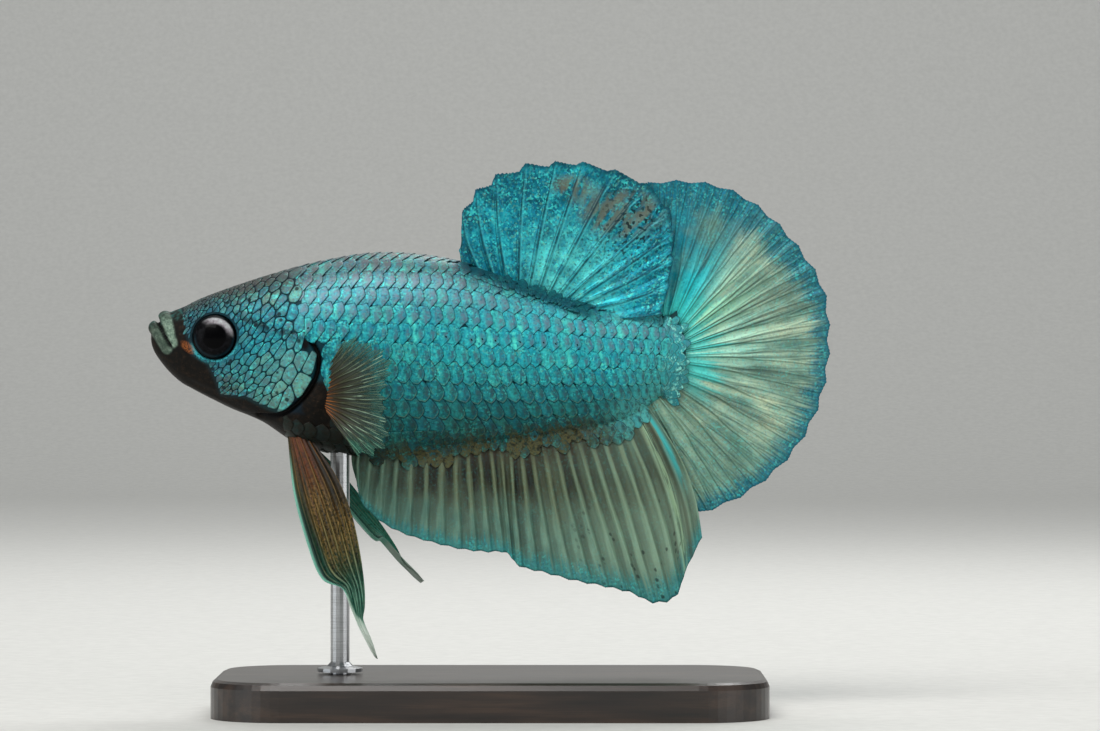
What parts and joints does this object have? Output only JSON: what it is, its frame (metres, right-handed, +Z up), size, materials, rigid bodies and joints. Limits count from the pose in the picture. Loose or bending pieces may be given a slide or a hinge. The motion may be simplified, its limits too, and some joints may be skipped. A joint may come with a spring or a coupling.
{
  "type": "betta fish on display stand",
  "caption": "Life-size still betta fish with upright fan fins and overlapping scales, held by a rod above a flat round-cornered base.",
  "frame": {"origin": "centre of the whole part's box, on the underside of the base", "axes": "+X from the head to the tail, +Y from the fish's left side to its right, +Z up"},
  "size_m": [0.057, 0.025, 0.0461],
  "materials": {
    "scaled_skin": "cyan and turquoise scales with a silvery gloss, dark edges and a grey-mauve back",
    "lips": "smooth pale grey-green lip skin",
    "jaw_skin": "smooth dark brown skin with fine specks",
    "bright_fin": "thin turquoise membrane with dark branching rays",
    "pale_fin": "thin pleated membrane, cream and grey-green rays with a turquoise rim",
    "clear_fin": "thin clear membrane with pale rays and a brown root",
    "amber_fin": "thin membrane, orange-brown with a dark teal web and pale front ray",
    "eye": "glossy dark eye with a pink-silver crescent over a black pupil",
    "stand_wood": "black-stained wood with a satin lacquer",
    "stand_steel": "satin steel rod with a small flange"
  },
  "bodies": {
    "root": {"head": "scaled_skin", "upper_jaw": "lips", "lower_jaw": "jaw_skin", "trunk": "scaled_skin", "tail_stem": "scaled_skin", "dorsal_fin": "bright_fin", "caudal_fin": "pale_fin", "anal_fin": "pale_fin", "eye_left": "eye", "eye_right": "eye", "gill_cover_left": "scaled_skin", "gill_cover_right": "scaled_skin", "pectoral_fin_left": "clear_fin", "pectoral_fin_right": "clear_fin", "pelvic_fin_left": "amber_fin", "pelvic_fin_right": "amber_fin", "stand_base": "stand_wood", "stand_rod": "stand_steel"}
  },
  "joints": []
}
